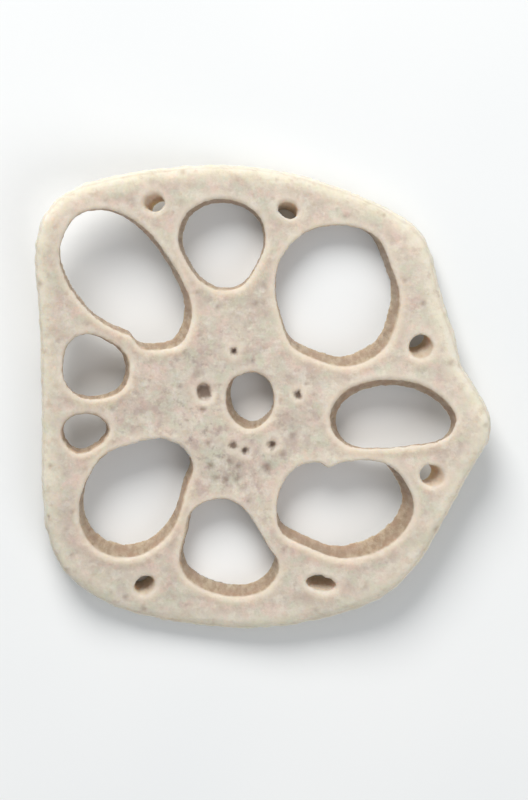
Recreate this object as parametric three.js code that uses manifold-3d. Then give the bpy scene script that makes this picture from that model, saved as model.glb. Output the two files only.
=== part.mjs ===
// A dried slice of lotus root, cut straight across the root and curled a little as it dried.
//
// One piece of dried flesh, lying on its back: +Z is up and out of the cut face that is seen, +Y is
// its longest way across. The origin is under the middle of the slice, on the surface it rests on.
// The air channels of the root run right through, and lean because the slice has curled.
// All lengths are in millimetres and all angles in degrees.

import * as THREE from "three";
import { mergeVertices } from "three/addons/utils/BufferGeometryUtils.js";
import Module from "manifold-3d";

// ---- driving dimensions ----
const THICKNESS = 3.0; // from cut face to cut face
const REACH = 23.0; // mean distance from the middle to the rim

// The curl: a trough along one line through the middle, with both sides of it lifted at the rim.
const TROUGH_DIRECTION = 73; // heading of the trough's line, from +X towards +Y
const LEFT_LIFT = 3.4; // how far the rim on the left of that line rises
const RIGHT_LIFT = 2.6; // how far the rim on its right rises
const ARCH = 0.7; // how far the middle stands above the trough's two ends
const SEAT_DEPTH = 0.35; // how much of the two ends is worn flat, where the slice rests

// The rounded rim, as [share of the outline's distance from the middle, share of the thickness].
const RIM_PROFILE = [
  [0.955, 0.0],
  [0.983, 0.09],
  [0.997, 0.3],
  [1.0, 0.52],
  [0.996, 0.74],
  [0.982, 0.92],
  [0.955, 1.0],
];
const FACE_RINGS = [0.25, 0.45, 0.62, 0.76, 0.88]; // rings of points across each cut face
const SPOKES = 72; // points round each ring

const CUT_BELOW = -2; // the channels' cutters reach from here ...
const CUT_ABOVE = 10; // ... to here, past both faces
const POINTS_PER_BEND = 3; // facets between two chosen points of a channel's edge
const OUTLINE_STEPS = 8; // the outline is measured this many times between two of its points
const NARROW_SIDES = 12; // facets round a narrow channel or a pore
const JOIN_DISTANCE = 1e-4; // points nearer together than this are one point

// The outer edge of the slice, anticlockwise from its right side.
const OUTLINE = [
  [22.3, -0.6], [21.0, 1.6], [19.8, 3.4], [19.2, 6.2], [18.2, 9.2], [17.2, 12.8], [16.5, 15.6],
  [14.8, 17.7], [12.0, 19.3], [8.3, 20.9], [4.2, 22.3], [-0.4, 23.2], [-5.2, 23.5], [-10.5, 23.2],
  [-15.4, 22.4], [-19.2, 21.3], [-21.8, 18.9], [-22.8, 15.3], [-22.5, 10.2], [-22.3, 4.2],
  [-22.3, -3.6], [-22.3, -9.6], [-21.9, -13.4], [-20.6, -17.0], [-18.0, -19.6], [-14.5, -21.5],
  [-10.0, -22.7], [-4.6, -23.4], [0.6, -23.4], [5.2, -22.6], [9.2, -21.4], [12.4, -19.8],
  [15.2, -17.0], [17.7, -12.8], [19.5, -9.4], [21.0, -6.5], [22.5, -4.2], [22.8, -2.3],
];

// The wide air channels. edge: the channel's mouth in the upper face. lean: how far its mouth in the
// lower face is moved from that. taper: the lower mouth's size as a share of the upper one's.
const WIDE_CHANNELS = [
  {
    // upper right
    lean: [-0.5, 0.5],
    taper: 0.94,
    edge: [
      [13.5, 10.5], [12.9, 7.3], [11.6, 4.9], [8.5, 3.4], [5.2, 4.1], [2.8, 5.4], [1.8, 7.9],
      [1.2, 10.6], [1.7, 14.1], [4.4, 16.8], [8.4, 17.4], [11.4, 16.2], [12.7, 13.4],
    ],
  },
  {
    // right
    lean: [0.2, -0.7],
    taper: 0.9,
    edge: [
      [19.1, -2.0], [18.1, -3.8], [14.8, -4.5], [11.5, -4.8], [8.3, -4.5], [6.7, -3.0],
      [6.5, -0.9], [7.9, 1.0], [10.4, 2.0], [12.9, 2.2], [15.8, 1.5], [18.2, -0.3],
    ],
  },
  {
    // lower right, with a nick in its upper edge
    lean: [-0.6, 0.6],
    taper: 0.91,
    edge: [
      [3.4, -6.8], [5.6, -6.4], [6.5, -6.9], [7.5, -6.45], [10.4, -6.1], [12.8, -6.7],
      [14.4, -8.9], [14.7, -11.2], [13.0, -13.9], [10.3, -15.6], [7.3, -16.1], [4.2, -15.0],
      [1.8, -13.7], [1.3, -11.2], [1.9, -8.7],
    ],
  },
  {
    // bottom
    lean: [0.0, 0.7],
    taper: 0.92,
    edge: [
      [-3.6, -10.2], [-5.6, -10.3], [-7.3, -11.4], [-7.9, -13.8], [-8.5, -16.4], [-7.6, -18.5],
      [-5.2, -19.8], [-2.4, -20.2], [0.2, -19.3], [1.5, -16.9], [0.4, -15.0], [-0.8, -12.9],
      [-2.1, -11.1],
    ],
  },
  {
    // lower left
    lean: [0.0, 0.8],
    taper: 0.93,
    edge: [
      [-9.9, -3.9], [-8.0, -5.0], [-7.1, -7.0], [-7.9, -9.3], [-8.6, -12.0], [-9.8, -14.1],
      [-11.6, -15.7], [-14.2, -16.3], [-16.7, -15.3], [-18.2, -13.0], [-18.4, -10.0],
      [-17.5, -7.5], [-15.9, -5.4], [-13.0, -4.3],
    ],
  },
  {
    // left, the lower of two
    lean: [-0.2, 0.0],
    taper: 0.92,
    edge: [
      [-20.2, -3.3], [-19.5, -1.7], [-17.0, -1.35], [-15.4, -2.9], [-16.7, -4.6], [-18.8, -5.2],
    ],
  },
  {
    // left, the upper of two
    lean: [-0.5, 0.0],
    taper: 0.97,
    edge: [
      [-20.1, 3.8], [-19.5, 5.9], [-17.7, 6.8], [-15.3, 5.9], [-13.8, 4.7], [-13.3, 3.0],
      [-13.9, 1.2], [-15.5, 0.4], [-18.2, 0.4], [-19.8, 1.8],
    ],
  },
  {
    // upper left, the largest
    lean: [-0.6, 0.2],
    taper: 0.94,
    edge: [
      [-20.3, 15.6], [-20.1, 13.4], [-18.9, 10.9], [-16.7, 8.4], [-14.6, 7.1], [-13.0, 6.4],
      [-12.2, 5.3], [-10.3, 4.95], [-8.0, 5.4], [-7.0, 7.3], [-6.9, 9.5], [-8.0, 12.2],
      [-9.7, 14.9], [-11.9, 17.3], [-15.2, 19.1], [-18.6, 18.6],
    ],
  },
  {
    // top
    lean: [0.1, -0.3],
    taper: 0.93,
    edge: [
      [-8.5, 16.1], [-7.7, 13.9], [-6.3, 12.0], [-4.4, 11.1], [-2.2, 11.5], [-0.9, 13.2],
      [0.1, 15.6], [-0.3, 18.2], [-2.3, 19.8], [-5.2, 20.1], [-7.6, 18.8],
    ],
  },
  {
    // middle
    lean: [0.3, 0.3],
    taper: 0.92,
    edge: [
      [0.95, -0.2], [0.3, -2.0], [-1.3, -3.0], [-2.9, -2.3], [-3.8, -0.2], [-3.2, 2.0],
      [-1.0, 2.7], [0.5, 1.7],
    ],
  },
];

// The narrow channels under the rim: middle, width, height, how far each is turned, and its lean.
const RIM_CHANNELS = [
  { at: [15.8, 5.3], size: [2.2, 2.4], turn: -40, lean: [-0.9, 1.0] },
  { at: [16.9, -7.5], size: [2.3, 2.1], turn: -20, lean: [-1.3, 0.3] },
  { at: [5.8, -18.7], size: [3.1, 1.7], turn: -8, lean: [-0.5, 1.4] },
  { at: [-12.0, -19.0], size: [2.2, 2.0], turn: 30, lean: [-0.8, 1.3] },
  { at: [-11.0, 19.9], size: [2.0, 1.7], turn: 20, lean: [0.9, -1.0] },
  { at: [2.4, 19.1], size: [2.2, 1.7], turn: -20, lean: [-0.3, -1.2] },
];

// Pores round the middle. They run through the root too, but have shrunk shut inside the slice.
const PORE_DEPTH = 0.6; // how deep each is, from either face
const PORES = [
  { at: [-6.0, 0.75], size: [1.4, 2.0], turn: 18 },
  { at: [3.4, 0.5], size: [0.7, 1.0], turn: 0 },
  { at: [-3.0, 4.9], size: [0.7, 1.0], turn: 0 },
  { at: [-3.1, -4.6], size: [0.6, 1.0], turn: 0 },
  { at: [-1.9, -5.2], size: [0.8, 0.7], turn: 0 },
  { at: [0.8, -4.6], size: [1.0, 0.8], turn: 20 },
];

const wasm = await Module();
wasm.setup();

// ---- solids ----

// A closed three.js geometry as a manifold solid, with shared points joined and no collapsed faces.
function toSolid(geometry) {
  geometry.deleteAttribute("normal");
  geometry.deleteAttribute("uv");
  const merged = mergeVertices(geometry, JOIN_DISTANCE);
  const corners = merged.index.array;
  const kept = [];
  for (let i = 0; i < corners.length; i += 3) {
    const [a, b, c] = [corners[i], corners[i + 1], corners[i + 2]];
    if (a !== b && b !== c && c !== a) kept.push(a, b, c);
  }
  const mesh = new wasm.Mesh({
    numProp: 3,
    vertProperties: new Float32Array(merged.attributes.position.array),
    triVerts: new Uint32Array(kept),
  });
  return new wasm.Manifold(mesh);
}

function toGeometry(solid) {
  const mesh = solid.getMesh();
  const geometry = new THREE.BufferGeometry();
  geometry.setAttribute("position", new THREE.BufferAttribute(mesh.vertProperties, 3));
  geometry.setIndex(new THREE.BufferAttribute(mesh.triVerts, 1));
  return geometry;
}

// Moves every point of a geometry to where move(x, y, z) puts it.
function moveEachPoint(geometry, move) {
  const position = geometry.attributes.position;
  for (let i = 0; i < position.count; i += 1) {
    position.setXYZ(i, ...move(position.getX(i), position.getY(i), position.getZ(i)));
  }
  return geometry;
}

function closedCurve(points, divisions) {
  const corners = points.map(([x, y]) => new THREE.Vector3(x, y, 0));
  return new THREE.CatmullRomCurve3(corners, true, "centripetal").getPoints(divisions).slice(0, -1);
}

// ---- the curl ----

// How far the slice is raised over (x, y). Below zero at the trough's ends, which are worn flat.
function curl(x, y) {
  const heading = THREE.MathUtils.degToRad(TROUGH_DIRECTION);
  const along = (x * Math.cos(heading) + y * Math.sin(heading)) / REACH;
  const across = (y * Math.cos(heading) - x * Math.sin(heading)) / REACH;
  const sideLift = across > 0 ? LEFT_LIFT : RIGHT_LIFT;
  return sideLift * across ** 2 + ARCH * (1 - along ** 2) - SEAT_DEPTH;
}

// ---- the body of the slice ----

// How far the outline lies from the middle in each direction.
const outlineByAngle = closedCurve(OUTLINE, OUTLINE.length * OUTLINE_STEPS)
  .map((point) => ({ angle: Math.atan2(point.y, point.x), distance: Math.hypot(point.x, point.y) }))
  .sort((a, b) => a.angle - b.angle);

function outlineDistance(angle) {
  const after = outlineByAngle.findIndex((entry) => entry.angle >= angle);
  const next = outlineByAngle[after < 0 ? 0 : after];
  const last = outlineByAngle.at(after < 0 ? -1 : after - 1);
  const turn = 2 * Math.PI;
  const gap = (next.angle - last.angle + turn) % turn;
  const share = gap > 0 ? ((angle - last.angle + turn) % turn) / gap : 0;
  return THREE.MathUtils.lerp(last.distance, next.distance, share);
}

// A round disc, turned from its profile, then drawn out to the outline and curled.
function makeBody() {
  const lowerFace = [0, ...FACE_RINGS].map((share) => [share, 0]);
  const upperFace = [...FACE_RINGS].reverse().concat(0).map((share) => [share, 1]);
  const profile = [...lowerFace, ...RIM_PROFILE, ...upperFace];
  const disc = new THREE.LatheGeometry(
    profile.map(([share, height]) => new THREE.Vector2(share, height)),
    SPOKES
  );
  disc.rotateX(Math.PI / 2);
  return moveEachPoint(disc, (x, y, z) => {
    const share = Math.hypot(x, y);
    const angle = Math.atan2(y, x);
    const distance = share * outlineDistance(angle);
    const px = distance * Math.cos(angle);
    const py = distance * Math.sin(angle);
    const raised = curl(px, py);
    const under = Math.max(0, raised);
    return [px, py, THREE.MathUtils.lerp(under, raised + THICKNESS, z)];
  });
}

// ---- the channels ----

// A cutter with the given edge where it meets the upper face. It reaches from z = low to z = high.
function makeCutter(edge, lean, taper, low = CUT_BELOW, high = CUT_ABOVE) {
  const middle = edge.reduce((sum, point) => sum.add(point), new THREE.Vector3());
  middle.divideScalar(edge.length);
  const upperFace = curl(middle.x, middle.y) + THICKNESS;
  const shape = new THREE.Shape(edge.map((point) => new THREE.Vector2(point.x, point.y)));
  const cutter = new THREE.ExtrudeGeometry(shape, { depth: high - low, bevelEnabled: false });
  cutter.translate(0, 0, low);
  return moveEachPoint(cutter, (x, y, z) => {
    const depth = (upperFace - z) / THICKNESS;
    const size = 1 - (1 - taper) * depth;
    return [
      middle.x + (x - middle.x) * size + lean[0] * depth,
      middle.y + (y - middle.y) * size + lean[1] * depth,
      z,
    ];
  });
}

function wideChannel({ edge, lean, taper }) {
  return makeCutter(closedCurve(edge, edge.length * POINTS_PER_BEND), lean, taper);
}

function narrowEdge({ at, size, turn }) {
  const ellipse = new THREE.EllipseCurve(
    at[0], at[1], size[0] / 2, size[1] / 2, 0, 2 * Math.PI, false, THREE.MathUtils.degToRad(turn)
  );
  const edge = ellipse.getPoints(NARROW_SIDES).slice(0, -1);
  return edge.map((point) => new THREE.Vector3(point.x, point.y, 0));
}

function rimChannel(channel) {
  return makeCutter(narrowEdge(channel), channel.lean, 1);
}

// A pore's two blind ends, one in each face.
function poreEnds(pore) {
  const lowerFace = curl(...pore.at);
  const upperEnd = lowerFace + THICKNESS - PORE_DEPTH;
  const lowerEnd = lowerFace + PORE_DEPTH;
  const edge = narrowEdge(pore);
  return [
    makeCutter(edge, [0, 0], 1, upperEnd, CUT_ABOVE),
    makeCutter(edge, [0, 0], 1, CUT_BELOW, lowerEnd),
  ];
}

// ---- the slice ----

function makeSlice() {
  const cutters = [
    ...WIDE_CHANNELS.map(wideChannel),
    ...RIM_CHANNELS.map(rimChannel),
    ...PORES.flatMap(poreEnds),
  ];
  const body = toSolid(makeBody());
  const solid = cutters.reduce((rest, cutter) => rest.subtract(toSolid(cutter)), body);
  const geometry = toGeometry(solid);
  geometry.computeBoundingBox();
  const { min, max } = geometry.boundingBox;
  geometry.translate(-(min.x + max.x) / 2, -(min.y + max.y) / 2, -min.z);
  geometry.computeVertexNormals();
  return geometry;
}

const driedFlesh = new THREE.MeshStandardMaterial({
  color: "#cdbead",
  roughness: 0.85,
  metalness: 0,
});

const slice = new THREE.Mesh(makeSlice(), driedFlesh);
slice.name = "lotus_root_slice";

const part = new THREE.Group();
part.add(slice);

export default part;
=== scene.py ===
"""A dried lotus root slice lying on a pale table, seen from above.

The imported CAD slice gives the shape: its outline, its curl and its air channels. Here it is remeshed
finely and given what drying leaves on it: lips round the channels, sunken and wrinkled flesh between
them, small dents, ribbed channel walls and a creased rim. Its material is procedural and reads a few
values that are stored on the mesh. The slice's lengths are in millimetres until its finished mesh is
scaled to metres. The camera, the lights and the floor are placed in metres.
"""

import itertools
import math

import bpy
import numpy as np
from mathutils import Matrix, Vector
from mathutils.bvhtree import BVHTree


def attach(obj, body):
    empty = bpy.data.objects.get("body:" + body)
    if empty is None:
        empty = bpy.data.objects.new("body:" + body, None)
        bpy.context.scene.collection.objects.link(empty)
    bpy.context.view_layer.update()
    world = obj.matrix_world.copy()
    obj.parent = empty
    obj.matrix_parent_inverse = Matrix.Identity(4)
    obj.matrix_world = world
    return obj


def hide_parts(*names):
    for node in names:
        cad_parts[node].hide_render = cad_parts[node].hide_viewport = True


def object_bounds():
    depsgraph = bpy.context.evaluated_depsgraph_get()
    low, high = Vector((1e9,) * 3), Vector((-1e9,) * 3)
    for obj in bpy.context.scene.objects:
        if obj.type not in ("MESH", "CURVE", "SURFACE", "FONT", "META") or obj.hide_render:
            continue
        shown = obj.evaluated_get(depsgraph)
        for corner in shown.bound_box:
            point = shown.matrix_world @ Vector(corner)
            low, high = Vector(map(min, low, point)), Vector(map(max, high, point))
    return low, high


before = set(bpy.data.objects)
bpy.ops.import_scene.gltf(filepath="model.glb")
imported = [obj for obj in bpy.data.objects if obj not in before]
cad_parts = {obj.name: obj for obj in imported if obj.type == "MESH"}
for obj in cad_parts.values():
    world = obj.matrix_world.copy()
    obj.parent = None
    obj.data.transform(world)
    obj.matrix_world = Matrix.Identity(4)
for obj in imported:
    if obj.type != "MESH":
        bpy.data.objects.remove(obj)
cad_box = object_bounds()

NODE = "lotus_root_slice"
MM = 0.001

# ---- mesh ----
VOXEL = 0.213  # size of the remeshed surface's faces
ROUNDING_STEPS = 6  # smoothing passes that soften the cut edges
WALL_TILT = 0.5  # a CAD face whose normal rises less than this belongs to a wall or to the rim
RIM_SHARE = 0.93  # the rim lies beyond this share of the way from the middle to the outline
SECTORS = 48  # directions in which the outline is measured

# How far round each point the nearest channel wall, rim and cut face are looked for.
WALL_SEARCH = 6.0
RIM_SEARCH = 4.0
FACE_SEARCH = 2.5

# Where the remeshed surface counts as upright or as flat, by how much its normal rises.
UPRIGHT = 0.4
FLAT = 0.75

# ---- relief ----
LIP_HEIGHT = 0.09
LIP_WIDTH = 0.45
LIP_PLACE = 0.25  # how far a lip's crest is from the channel's edge
LIP_PALE_WIDTH = 0.42  # the paler ring on a lip, and how far its middle is from the edge
LIP_PALE_PLACE = 0.2
SINK_DEPTH = 0.1  # how far the flesh between the lips has shrunk
SINK_REACH = 1.8  # how far from a lip it is fully sunk
WAVE_HEIGHT = 0.22  # broad unevenness of the faces
WRINKLE_HEIGHT = 0.11
GRAIN_HEIGHT = 0.05
RIB_HEIGHT = 0.06  # ribs that run down the channel walls
RIM_CREASE = 0.12  # creases across the rim
RIM_PALE_REACH = 2.6  # how far in from the rim its colour reaches: the rim's real paler tone, lightened further as painted light
WALL_SHADE_DEPTH = 1.5  # how deep in a channel its wall gets its darkest painted shade

# The noises that shape the relief, each as stretch, seed and number of octaves.
WAVE = ((0.16, 0.16, 0.16), 3, 1)
WRINKLE = ((0.55, 0.55, 0.4), 17, 3)
GRAIN = ((2.1, 2.1, 2.1), 5, 2)
RIB = ((1.9, 1.9, 0.22), 29, 2)
CREASE = ((0.8, 0.8, 0.3), 41, 3)
NOISE_GAIN = 1.6  # brings one octave to about -1 to 1
OCTAVE_GAIN = 1.3  # brings several octaves' mean back to that
HASH_PRIMES = (73856093, 19349663, 83492791)
HASH_FACTOR = 1274126177
HASH_BITS = 0xFFFFFFFF
DIRECTIONS = 256  # random directions the noise chooses from

# The closed pores that the CAD slice has round its middle, where the shade of their hollows is painted
# in brown: place and radius.
PORES = [
    ((-6.0, 0.75), 0.66),
    ((3.4, 0.5), 0.36),
    ((-3.0, 4.9), 0.36),
    ((-3.1, -4.6), 0.34),
    ((-1.9, -5.2), 0.34),
    ((0.8, -4.6), 0.38),
]
PORE_BLUR = 0.2  # how softly a pore's painted shade ends
PORE_UNEVENNESS = 0.25

# The middles of the narrow channels under the rim, whose walls get painted light: a paler tan that
# stands in for the light these deep, narrow channels lack.
NARROW_CHANNELS = [(15.6, 5.5), (16.5, -7.4), (5.6, -18.3), (-12.3, -18.6), (-10.7, 19.6), (2.3, 18.8)]
NARROW_REACH = 1.9
NARROW_BLUR = 0.3

# Dents in the upper face where small pores have shrunk shut: place, radius and depth.
DENTS = [
    ((0.3, -6.9), 0.5, 0.22),
    ((-6.1, -0.9), 0.3, 0.25),
    ((-5.6, -4.4), 0.28, 0.15),
    ((-5.4, -6.7), 0.35, 0.16),
    ((-2.6, -6.8), 0.3, 0.16),
    ((2.8, -3.7), 0.4, 0.12),
    ((1.9, -5.6), 0.28, 0.12),
    ((-6.7, 2.6), 0.4, 0.1),
    ((-8.4, 1.4), 0.3, 0.12),
    ((-4.9, -8.0), 0.35, 0.13),
    ((-3.9, -8.2), 0.4, 0.15),
    ((-2.8, -8.1), 0.35, 0.13),
    ((4.2, 1.6), 0.22, 0.12),
    ((-1.1, 3.9), 0.2, 0.12),
    ((-4.6, 9.3), 0.3, 0.1),
]
DARKEST_DENT = 0.16  # a dent this deep or deeper has the full painted shade

# Many smaller dents, scattered over both faces.
SCATTERED_DENTS = 230
SCATTER_SEED = 11
SCATTER_REACH = 23.0
SCATTER_RADII = (0.16, 0.34)
SCATTER_DEPTHS = (0.04, 0.13)
SCATTER_ON_TOP = 0.6  # share of them in the upper face

FLECKED_MIDDLE = (-5.0, -3.0)  # the flesh is most flecked here ...
FLECKED_REACH = 8.5  # ... and about this far round it


def smooth_step(low, high, value):
    share = np.clip((value - low) / (high - low), 0.0, 1.0)
    return share * share * (3.0 - 2.0 * share)


def bell(value, width):
    return np.exp(-((value / width) ** 2))


# ---- shape ----


def remeshed_copy(source):
    """The CAD slice in millimetres, remeshed to even small faces."""
    mesh = source.data.copy()
    mesh.name = "dried_slice"
    mesh.materials.clear()
    points = np.empty(len(mesh.vertices) * 3, dtype=np.float32)
    mesh.vertices.foreach_get("co", points)
    mesh.vertices.foreach_set("co", points / MM)
    mesh.update()
    piece = bpy.data.objects.new("dried_slice", mesh)
    bpy.context.scene.collection.objects.link(piece)
    remesh = piece.modifiers.new("remesh", "REMESH")
    remesh.mode = "VOXEL"
    remesh.voxel_size = VOXEL
    remesh.adaptivity = 0.0
    bpy.context.view_layer.update()
    graph = bpy.context.evaluated_depsgraph_get()
    fine = bpy.data.meshes.new_from_object(piece.evaluated_get(graph))
    piece.modifiers.clear()
    piece.data = fine
    bpy.data.meshes.remove(mesh)
    fine.name = "dried_slice"
    for name in [layer.name for layer in fine.uv_layers]:
        fine.uv_layers.remove(fine.uv_layers[name])
    return piece


def read_points(mesh):
    points = np.empty(len(mesh.vertices) * 3, dtype=np.float32)
    mesh.vertices.foreach_get("co", points)
    return points.reshape(-1, 3).astype(np.float64)


def read_normals(mesh):
    normals = np.empty(len(mesh.vertices) * 3, dtype=np.float32)
    mesh.vertex_normals.foreach_get("vector", normals)
    return normals.reshape(-1, 3).astype(np.float64)


def write_points(mesh, points):
    mesh.vertices.foreach_set("co", points.astype(np.float32).ravel())
    mesh.update()


def soften(mesh, steps):
    """Rounds the edges a little: each pass moves every point halfway to its neighbours' middle."""
    points = read_points(mesh)
    pairs = np.empty(len(mesh.edges) * 2, dtype=np.int64)
    mesh.edges.foreach_get("vertices", pairs)
    first, second = pairs.reshape(-1, 2).T
    count = len(points)
    degree = np.bincount(first, minlength=count) + np.bincount(second, minlength=count)
    for _ in range(steps):
        total = np.empty_like(points)
        for axis in range(3):
            total[:, axis] = np.bincount(first, points[second, axis], minlength=count)
            total[:, axis] += np.bincount(second, points[first, axis], minlength=count)
        points = 0.5 * points + 0.5 * total / degree[:, None]
    write_points(mesh, points)


def outline_distance(points, angles):
    """How far the outline lies from the middle, in each of the directions given by angles."""
    heading = np.arctan2(points[:, 1], points[:, 0])
    sector = np.floor((heading / math.tau + 0.5) * SECTORS)
    reach = np.hypot(points[:, 0], points[:, 1])
    outermost = [np.argmax(np.where(sector == k, reach, 0.0)) for k in range(SECTORS)]
    return np.interp(angles, heading[outermost], reach[outermost], period=math.tau)


def cad_surfaces(source):
    """Search trees over the CAD slice's channel walls, its rim and its two cut faces, in millimetres."""
    mesh = source.data
    points = read_points(mesh) / MM
    corners = [list(face.vertices) for face in mesh.polygons]
    normals = np.array([face.normal for face in mesh.polygons])
    middles = np.array([points[group].mean(axis=0) for group in corners])
    outline = outline_distance(points, np.arctan2(middles[:, 1], middles[:, 0]))
    upright = np.abs(normals[:, 2]) < WALL_TILT
    outermost = np.hypot(middles[:, 0], middles[:, 1]) > RIM_SHARE * outline
    places = [Vector(point) for point in points]
    groups = (upright & ~outermost, upright & outermost, ~upright)
    return [
        BVHTree.FromPolygons(places, [corners[i] for i in np.flatnonzero(group)])
        for group in groups
    ]


def distance_to(tree, points, reach):
    found = np.full(len(points), reach)
    for i, point in enumerate(points):
        hit = tree.find_nearest(Vector(point), reach)
        if hit[3] is not None:
            found[i] = hit[3]
    return found


def gradient_noise(points, seed):
    """Smooth noise from about -1 to 1 at each point, with features about one unit across."""
    directions = np.random.default_rng(seed).normal(size=(DIRECTIONS, 3))
    directions /= np.linalg.norm(directions, axis=1)[:, None]
    cell = np.floor(points).astype(np.int64)
    local = points - cell
    fade = local**3 * (local * (local * 6 - 15) + 10)
    total = np.zeros(len(points))
    for corner in itertools.product((0, 1), repeat=3):
        place = (cell + corner) * HASH_PRIMES
        mixed = place[:, 0] ^ place[:, 1] ^ place[:, 2]
        mixed = ((mixed ^ (mixed >> 13)) * HASH_FACTOR) & HASH_BITS
        direction = directions[(mixed ^ (mixed >> 16)) % DIRECTIONS]
        weight = np.where(np.array(corner) == 1, fade, 1 - fade).prod(axis=1)
        total += weight * (direction * (local - corner)).sum(axis=1)
    return NOISE_GAIN * total


def noise_at(points, stretch, seed, octaves):
    """Noise at each point with its coordinates multiplied by stretch, and finer noise added to it."""
    place = points * stretch
    layers = [gradient_noise(place * 2**k, seed + k) / 2**k for k in range(octaves)]
    return sum(layers) / (2 - 0.5 ** (octaves - 1)) * OCTAVE_GAIN


def reach_from(points, place):
    """How far each point is from a place, seen from above."""
    return np.hypot(points[:, 0] - place[0], points[:, 1] - place[1])


def dent_field(points, on_top):
    """How deep the dents are at each point: the chosen ones and the scattered ones."""
    depth = np.zeros(len(points))
    chance = np.random.default_rng(SCATTER_SEED)
    for place, radius, deep in DENTS:
        gap = reach_from(points, place)
        depth = np.maximum(depth, deep * bell(gap, radius) * on_top)
    for _ in range(SCATTERED_DENTS):
        place = chance.uniform(-SCATTER_REACH, SCATTER_REACH, 2)
        radius = chance.uniform(*SCATTER_RADII)
        deep = chance.uniform(*SCATTER_DEPTHS)
        side = on_top if chance.random() < SCATTER_ON_TOP else 1.0 - on_top
        gap = reach_from(points, place)
        depth = np.maximum(depth, deep * bell(gap, radius) * side)
    return depth


def narrow_painted_light_field(points):
    """1 round the narrow channels, whose walls get painted light, and 0 elsewhere."""
    gaps = [reach_from(points, place) for place in NARROW_CHANNELS]
    nearest = np.min(gaps, axis=0)
    return smooth_step(NARROW_REACH + NARROW_BLUR, NARROW_REACH - NARROW_BLUR, nearest)


def pore_shade_field(points, unevenness):
    """1 inside the closed pores, where their shade is painted, and 0 outside them, with an uneven edge.
    """
    inside = np.zeros(len(points))
    for place, radius in PORES:
        gap = reach_from(points, place) + PORE_UNEVENNESS * unevenness
        inside = np.maximum(inside, smooth_step(radius + PORE_BLUR, radius - PORE_BLUR, gap))
    return inside


def carve(piece, source):
    """Adds the relief, and stores on the mesh what the material reads."""
    mesh = piece.data
    points = read_points(mesh)
    normals = read_normals(mesh)
    walls, rim, faces = cad_surfaces(source)
    to_wall = distance_to(walls, points, WALL_SEARCH)
    to_rim = distance_to(rim, points, RIM_SEARCH)
    to_face = distance_to(faces, points, FACE_SEARCH)

    wall = smooth_step(FLAT, UPRIGHT, np.abs(normals[:, 2]))
    on_rim = wall * smooth_step(1.4, 0.5, to_rim)
    in_channel = wall * (1.0 - on_rim)
    cap = 1.0 - wall
    on_top = (normals[:, 2] > 0).astype(float)

    lip = bell(to_wall - LIP_PLACE, LIP_WIDTH) * cap
    sunk = smooth_step(0.3, SINK_REACH, to_wall) * smooth_step(0.0, 3.0, to_rim) * cap
    wave = noise_at(points, *WAVE)
    wrinkle = noise_at(points, *WRINKLE)
    grain = noise_at(points, *GRAIN)
    ribs = noise_at(points, *RIB)
    creases = noise_at(points, *CREASE)
    dents = dent_field(points, on_top) * cap * smooth_step(0.35, 0.8, to_wall)

    push = WAVE_HEIGHT * wave * cap
    push += WRINKLE_HEIGHT * wrinkle * (0.35 + 0.65 * sunk) * (cap + 0.4 * on_rim)
    push += GRAIN_HEIGHT * grain * (cap + 0.6 * wall)
    push += LIP_HEIGHT * lip * (0.75 + 0.5 * wave)
    push -= SINK_DEPTH * sunk
    push += RIB_HEIGHT * ribs * in_channel
    push += RIM_CREASE * creases * on_rim
    push -= dents
    points += normals * push[:, None]
    points[:, 2] = np.maximum(points[:, 2], 0.0)
    write_points(mesh, points)

    store(mesh, "lip", bell(to_wall - LIP_PALE_PLACE, LIP_PALE_WIDTH) * cap)
    store(mesh, "channel", in_channel)
    # depth: painted shade that browns the channel walls deeper in
    store(mesh, "depth", np.clip(to_face / WALL_SHADE_DEPTH, 0.0, 1.0))
    # narrow: where the narrow channels' walls get painted light
    store(mesh, "narrow", narrow_painted_light_field(points))
    store(mesh, "rim", smooth_step(RIM_PALE_REACH, 0.3, to_rim))
    # painted shade in the dents, darker the deeper the dent
    store(mesh, "dent_shade", np.clip(dents / DARKEST_DENT, 0.0, 1.0))
    # pore: where the closed pores' shade is painted
    store(mesh, "pore", pore_shade_field(points, grain))
    store(mesh, "middle", bell(reach_from(points, FLECKED_MIDDLE), FLECKED_REACH))


def store(mesh, name, values):
    layer = mesh.attributes.new(name, "FLOAT", "POINT")
    layer.data.foreach_set("value", values.astype(np.float32))


def make_slice():
    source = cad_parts[NODE]
    piece = remeshed_copy(source)
    soften(piece.data, ROUNDING_STEPS)
    carve(piece, source)
    write_points(piece.data, read_points(piece.data) * MM)
    piece.data.polygons.foreach_set("use_smooth", [True] * len(piece.data.polygons))
    piece.data.materials.append(dried_flesh())
    return piece


# ---- material ----


def srgb(red, green, blue):
    """A colour given as 0 to 255 screen values, as Blender's linear colour."""
    values = [level / 255 for level in (red, green, blue)]
    return [v / 12.92 if v <= 0.04045 else ((v + 0.055) / 1.055) ** 2.4 for v in values] + [1.0]


BEIGE = srgb(216, 208, 193)
GREY_BEIGE = srgb(209, 197, 183)
CREAM = srgb(228, 221, 208)
PINK = srgb(224, 204, 192)
GREY_GREEN = srgb(209, 208, 190)
MAUVE = srgb(188, 168, 160)
TAUPE = srgb(157, 138, 129)
SPECKLE = srgb(190, 173, 156)
LIP = srgb(227, 213, 197)
# painted shade in the dents
DENT_PAINTED_SHADE = srgb(152, 131, 116)
# painted shade in the closed pores' hollows
PORE_PAINTED_SHADE = srgb(142, 123, 108)
# the rim's real pale tone, made lighter still as painted light
PALE_OLIVE = srgb(218, 215, 197)
PALE_CREAM = srgb(230, 224, 210)
TAN = srgb(192, 175, 152)
# painted light for the walls of the narrow channels
NARROW_PAINTED_LIGHT_TAN = srgb(219, 202, 180)
DARK_TAN = srgb(164, 144, 121)
ROSY_TAN = srgb(175, 144, 124)
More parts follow.
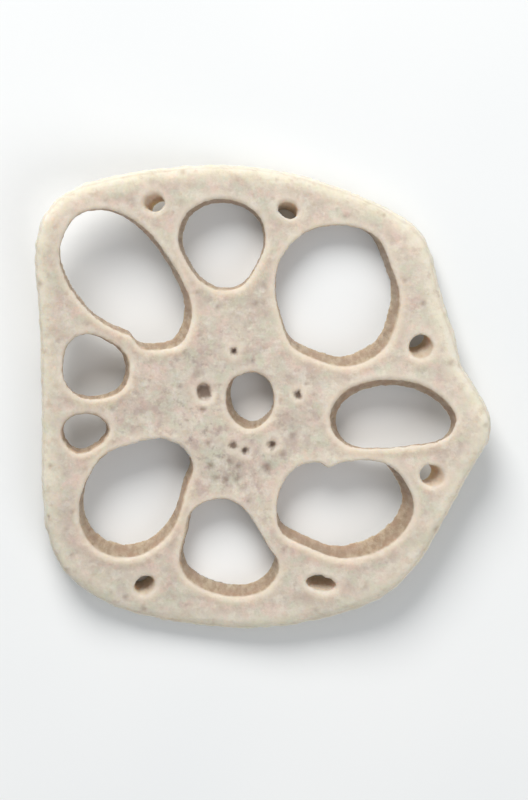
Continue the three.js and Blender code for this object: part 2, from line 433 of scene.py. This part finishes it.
# painted shade deep in the channels
WALL_PAINTED_SHADE_BROWN = srgb(150, 128, 105)

RIB_STRETCH = (2.0, 2.0, 0.2)  # the walls' colour changes fast round a channel and slowly along it
STREAK_STRETCH = (0.9, 0.9, 2.2)  # the rim's brown streaks run round the slice
GRAIN_STRETCH = (4.0, 4.0, 4.0)
FIBRE_STRETCH = (7.0, 7.0, 0.6)  # the walls' fibres run along the channels


class Nodes:
    """Short names for building one material's node tree."""

    def __init__(self, material):
        material.use_nodes = True
        self.tree = material.node_tree
        self.tree.nodes.clear()

    def add(self, kind, inputs=None, **settings):
        node = self.tree.nodes.new(kind)
        for key, value in settings.items():
            setattr(node, key, value)
        for key, value in (inputs or {}).items():
            if isinstance(value, bpy.types.NodeSocket):
                self.tree.links.new(value, node.inputs[key])
            else:
                node.inputs[key].default_value = value
        return node

    def place(self, stretch, shift):
        """Object coordinates in millimetres, multiplied by stretch and moved by shift."""
        coordinates = self.add("ShaderNodeTexCoord")
        settings = {0: coordinates.outputs["Object"], "Location": (shift,) * 3}
        settings["Scale"] = [share / MM for share in stretch]
        return self.add("ShaderNodeMapping", settings).outputs[0]

    def noise(self, stretch, detail=2.0, roughness=0.5, shift=0.0):
        settings = {"Vector": self.place(stretch, shift), "Scale": 1.0}
        settings.update({"Detail": detail, "Roughness": roughness})
        return self.add("ShaderNodeTexNoise", settings).outputs["Fac"]

    def value(self, name):
        return self.add("ShaderNodeAttribute", attribute_name=name).outputs["Fac"]

    def ramp(self, source, low, high):
        """source, spread so that low becomes 0 and high becomes 1."""
        inputs = {"Value": source, "From Min": low, "From Max": high}
        return self.add("ShaderNodeMapRange", inputs, interpolation_type="SMOOTHSTEP").outputs[0]

    def math(self, operation, *values):
        inputs = dict(enumerate(values))
        return self.add("ShaderNodeMath", inputs, operation=operation).outputs[0]

    def mix(self, share, under, over):
        inputs = {"Factor": share, 6: under, 7: over}
        return self.add("ShaderNodeMix", inputs, data_type="RGBA").outputs[2]


def patches(n, size, low, high, strength, shift=0.0):
    """Soft patches about size across, as shares from 0 to strength. shift gives other patches."""
    noise = n.noise((1 / size,) * 3, detail=3.0, roughness=0.6, shift=shift)
    return n.math("MULTIPLY", n.ramp(noise, low, high), strength)


def flesh_colour(n):
    """Pale beige with cream, pink, grey-green and mauve patches, darker flecks and fine speckle."""
    near_middle = n.math("MULTIPLY_ADD", n.value("middle"), 0.65, 0.35)
    beige = patches(n, size=3.2, low=0.36, high=0.66, strength=1.0)
    pink = patches(n, size=1.4, low=0.45, high=0.64, strength=0.75, shift=11.3)
    green = patches(n, size=1.7, low=0.48, high=0.64, strength=0.8, shift=23.9)
    mauve = patches(n, size=1.4, low=0.48, high=0.66, strength=0.8, shift=37.1)
    taupe = patches(n, size=0.8, low=0.54, high=0.7, strength=0.55, shift=51.7)
    cream = patches(n, size=1.2, low=0.5, high=0.66, strength=0.6, shift=68.3)
    speckle = patches(n, size=0.25, low=0.35, high=0.65, strength=0.2)
    colour = n.mix(beige, GREY_BEIGE, BEIGE)
    colour = n.mix(pink, colour, PINK)
    colour = n.mix(green, colour, GREY_GREEN)
    colour = n.mix(n.math("MULTIPLY", mauve, near_middle), colour, MAUVE)
    colour = n.mix(n.math("MULTIPLY", taupe, near_middle), colour, TAUPE)
    colour = n.mix(cream, colour, CREAM)
    return n.mix(speckle, colour, SPECKLE)


def wall_colour(n):
    """Tan, deeper between the ribs, with painted shade that browns the wall deeper into the channel and
    painted light that makes the narrow channels' walls paler.
    """
    ribs = n.ramp(n.noise(RIB_STRETCH, detail=3.0), low=0.35, high=0.65)
    stain = patches(n, size=2.4, low=0.4, high=0.62, strength=0.55)
    colour = n.mix(ribs, DARK_TAN, TAN)
    colour = n.mix(stain, colour, ROSY_TAN)
    # painted shade: the wall browner deeper into the channel
    colour = n.mix(n.math("MULTIPLY", n.value("depth"), 0.3), colour, WALL_PAINTED_SHADE_BROWN)
    # painted light: the narrow channels' walls are made paler to stand in for light that barely reaches
    # them
    return n.mix(n.math("MULTIPLY", n.value("narrow"), 0.85), colour, NARROW_PAINTED_LIGHT_TAN)


def rim_colour(n):
    """Pale cream and olive with faint brown streaks. The rim's real pale tone is lightened further as
    painted light.
    """
    cream = patches(n, size=1.8, low=0.3, high=0.7, strength=1.0)
    streaks = n.ramp(n.noise(STREAK_STRETCH, detail=4.0, roughness=0.65), low=0.5, high=0.72)
    colour = n.mix(cream, PALE_OLIVE, PALE_CREAM)
    return n.mix(n.math("MULTIPLY", streaks, 0.45), colour, ROSY_TAN)


def dried_flesh():
    """The slice's material. Channel walls are a little smoother than the faces and the rim."""
    material = bpy.data.materials.new("dried_lotus_flesh")
    n = Nodes(material)
    # the rim's colour: its real paler tone plus painted light
    colour = n.mix(n.math("MULTIPLY", n.value("rim"), 0.7), flesh_colour(n), rim_colour(n))
    colour = n.mix(n.math("MULTIPLY", n.value("lip"), 0.6), colour, LIP)
    colour = n.mix(n.value("channel"), colour, wall_colour(n))
    # painted shade: darker the deeper the dent
    colour = n.mix(n.math("MULTIPLY", n.value("dent_shade"), 0.6), colour, DENT_PAINTED_SHADE)
    # painted shade: brown over each closed pore's hollow
    colour = n.mix(n.value("pore"), colour, PORE_PAINTED_SHADE)

    grain = n.noise(GRAIN_STRETCH, detail=4.0, roughness=0.6)
    fibres = n.noise(FIBRE_STRETCH, detail=2.0)
    height = n.mix(n.value("channel"), grain, fibres)
    bump = n.add("ShaderNodeBump", {"Height": height, "Strength": 0.6, "Distance": 0.12 * MM})
    smoother = n.math("MULTIPLY", n.value("channel"), 0.3)
    roughness = n.math("SUBTRACT", n.ramp(grain, low=-0.9, high=1.1), smoother)
    roughness = n.math("ADD", roughness, 0.05)

    shader = n.add(
        "ShaderNodeBsdfPrincipled",
        {
            "Base Color": colour,
            "Roughness": roughness,
            "Normal": bump.outputs[0],
            "Specular IOR Level": 0.35,
            "Subsurface Weight": 0.85,
            "Subsurface Radius": (2.4 * MM, 1.9 * MM, 1.3 * MM),
            "Subsurface Scale": 1.0,
        },
    )
    n.add("ShaderNodeOutputMaterial", {"Surface": shader.outputs[0]})
    return material


# ---- stage ----

LENS = 180.0
SENSOR = 36.0
CLIP_START = 0.01
PICTURE = (528, 800)  # width and height of the picture
WIDTH_FILLED = 0.86  # share of the picture's width that the slice takes
CAMERA_TILT = 6.0  # how far the camera leans from straight above, towards +Y, in degrees
FLOOR_SIDE = 1.5  # half the floor's width
FLOOR_STRETCH = (0.02, 0.02, 0.02)  # the floor's tone changes over about 50 mm
SKY_COLOUR = (0.94, 0.97, 1.0, 1.0)
SKY_STRENGTH = 0.37


def make_camera():
    low, high = (Vector(corner) for corner in cad_box)
    middle = (low + high) / 2
    seen_width = (high.x - low.x) / WIDTH_FILLED
    seen_height = seen_width * PICTURE[1] / PICTURE[0]
    distance = seen_height * LENS / SENSOR
    camera = bpy.data.objects.new("camera", bpy.data.cameras.new("camera"))
    camera.data.lens = LENS
    camera.data.sensor_width = SENSOR
    camera.data.clip_start = CLIP_START
    tilt = math.radians(CAMERA_TILT)
    camera.rotation_euler = (-tilt, 0.0, 0.0)
    camera.location = middle + distance * Vector((0.0, math.sin(tilt), math.cos(tilt)))
    bpy.context.scene.collection.objects.link(camera)
    bpy.context.scene.camera = camera


def make_light(name, place, size, watts, colour=(1.0, 1.0, 1.0)):
    data = bpy.data.lights.new(name, "AREA")
    data.shape = "DISK"
    data.size = size
    data.energy = watts
    data.color = colour
    light = bpy.data.objects.new(name, data)
    light.location = place
    light.rotation_euler = (-Vector(place)).to_track_quat("-Z", "Y").to_euler()
    bpy.context.scene.collection.objects.link(light)


def make_floor():
    material = bpy.data.materials.new("pale_table")
    n = Nodes(material)
    tone = n.ramp(n.noise(FLOOR_STRETCH), low=0.3, high=0.7)
    colour = n.mix(tone, srgb(238, 240, 241), srgb(243, 244, 244))
    shader = n.add("ShaderNodeBsdfPrincipled", {"Base Color": colour, "Roughness": 0.7})
    n.add("ShaderNodeOutputMaterial", {"Surface": shader.outputs[0]})
    side = FLOOR_SIDE
    corners = [(-side, -side, 0), (side, -side, 0), (side, side, 0), (-side, side, 0)]
    mesh = bpy.data.meshes.new("floor")
    mesh.from_pydata(corners, [], [(0, 1, 2, 3)])
    mesh.materials.append(material)
    floor = bpy.data.objects.new("floor", mesh)
    bpy.context.scene.collection.objects.link(floor)


def make_light_and_sky():
    world = bpy.data.worlds.new("studio")
    world.use_nodes = True
    background = world.node_tree.nodes["Background"]
    background.inputs["Color"].default_value = SKY_COLOUR
    background.inputs["Strength"].default_value = SKY_STRENGTH
    bpy.context.scene.world = world
    make_light("key", place=(-0.1, 0.42, 0.34), size=0.3, watts=2.75, colour=(1.0, 0.985, 0.96))
    make_light("fill", place=(0.35, -0.3, 0.5), size=0.5, watts=1.1)


bpy.context.scene.view_settings.view_transform = "Standard"
make_camera()
make_floor()
make_light_and_sky()

lotus_slice = make_slice()
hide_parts(NODE)
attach(lotus_slice, "root")
